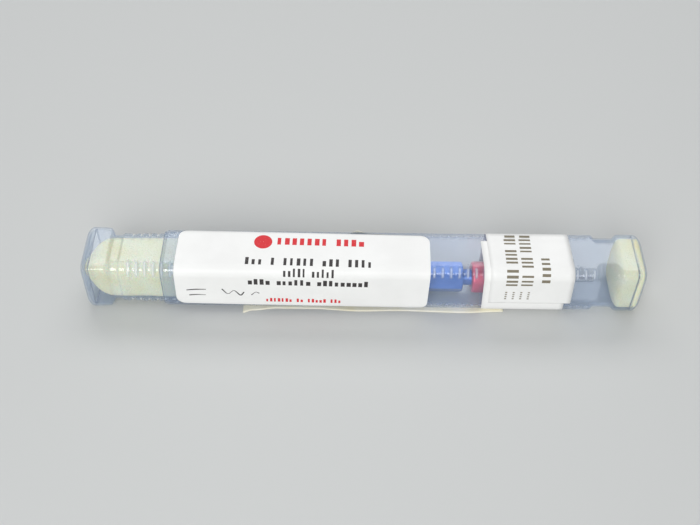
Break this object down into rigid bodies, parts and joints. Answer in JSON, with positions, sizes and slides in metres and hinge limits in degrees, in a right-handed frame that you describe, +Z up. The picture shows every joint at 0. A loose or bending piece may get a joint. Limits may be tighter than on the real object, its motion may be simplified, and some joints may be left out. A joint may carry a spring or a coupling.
{
  "type": "pin gauge",
  "caption": "Reversible go and no-go pin gauge with a hexagonal handle, lying in a square telescoping plastic storage tube with foam plugs and paper labels.",
  "frame": {"origin": "point on the resting plane below the middle of the outer sleeve", "axes": "+X along the tube towards its closed end, +Z up, the main label's front face towards -Y"},
  "size_m": [0.1424, 0.016, 0.0155],
  "materials": {
    "clear_plastic": "milky translucent blown plastic",
    "foam": "cream open foam",
    "white_paper": "smooth label paper",
    "cream_paper": "aged label paper",
    "blue_aluminium": "blue anodised",
    "green_aluminium": "green anodised",
    "red_aluminium": "red anodised",
    "collet_brass": "turned brass",
    "ground_steel": "ground and lapped"
  },
  "bodies": {
    "outer_case": {"outer_sleeve": "clear_plastic", "foam_right": "foam", "main_label": "white_paper", "wrap_label": "white_paper", "under_label": "cream_paper", "rear_label": "cream_paper"},
    "inner_case": {"inner_sleeve": "clear_plastic", "foam_left": "foam", "handle": "blue_aluminium", "go_collet": "collet_brass", "nogo_collet": "collet_brass"},
    "go_cap": {"go_nut": "green_aluminium"},
    "nogo_cap": {"nogo_nut": "red_aluminium"},
    "go_member": {"go_pin": "ground_steel"},
    "nogo_member": {"nogo_pin": "ground_steel"}
  },
  "joints": [
    {"name": "sleeve_slide", "type": "slide", "parent": "outer_case", "child": "inner_case", "axis": [-1, 0, 0], "range_m": [0, 0.115]},
    {"name": "go_nut_turn", "type": "hinge", "parent": "inner_case", "child": "go_cap", "pos_m": [-0.03125, 0, 0.00541], "axis": [-1, 0, 0], "range_deg": [0, 180]},
    {"name": "nogo_nut_turn", "type": "hinge", "parent": "inner_case", "child": "nogo_cap", "pos_m": [0.02345, 0, 0.00541], "axis": [1, 0, 0], "range_deg": [0, 180]},
    {"name": "go_pin_slide", "type": "slide", "parent": "inner_case", "child": "go_member", "axis": [1, 0, 0], "range_m": [0, 0.0045]},
    {"name": "nogo_pin_slide", "type": "slide", "parent": "inner_case", "child": "nogo_member", "axis": [-1, 0, 0], "range_m": [0, 0.0045]}
  ]
}
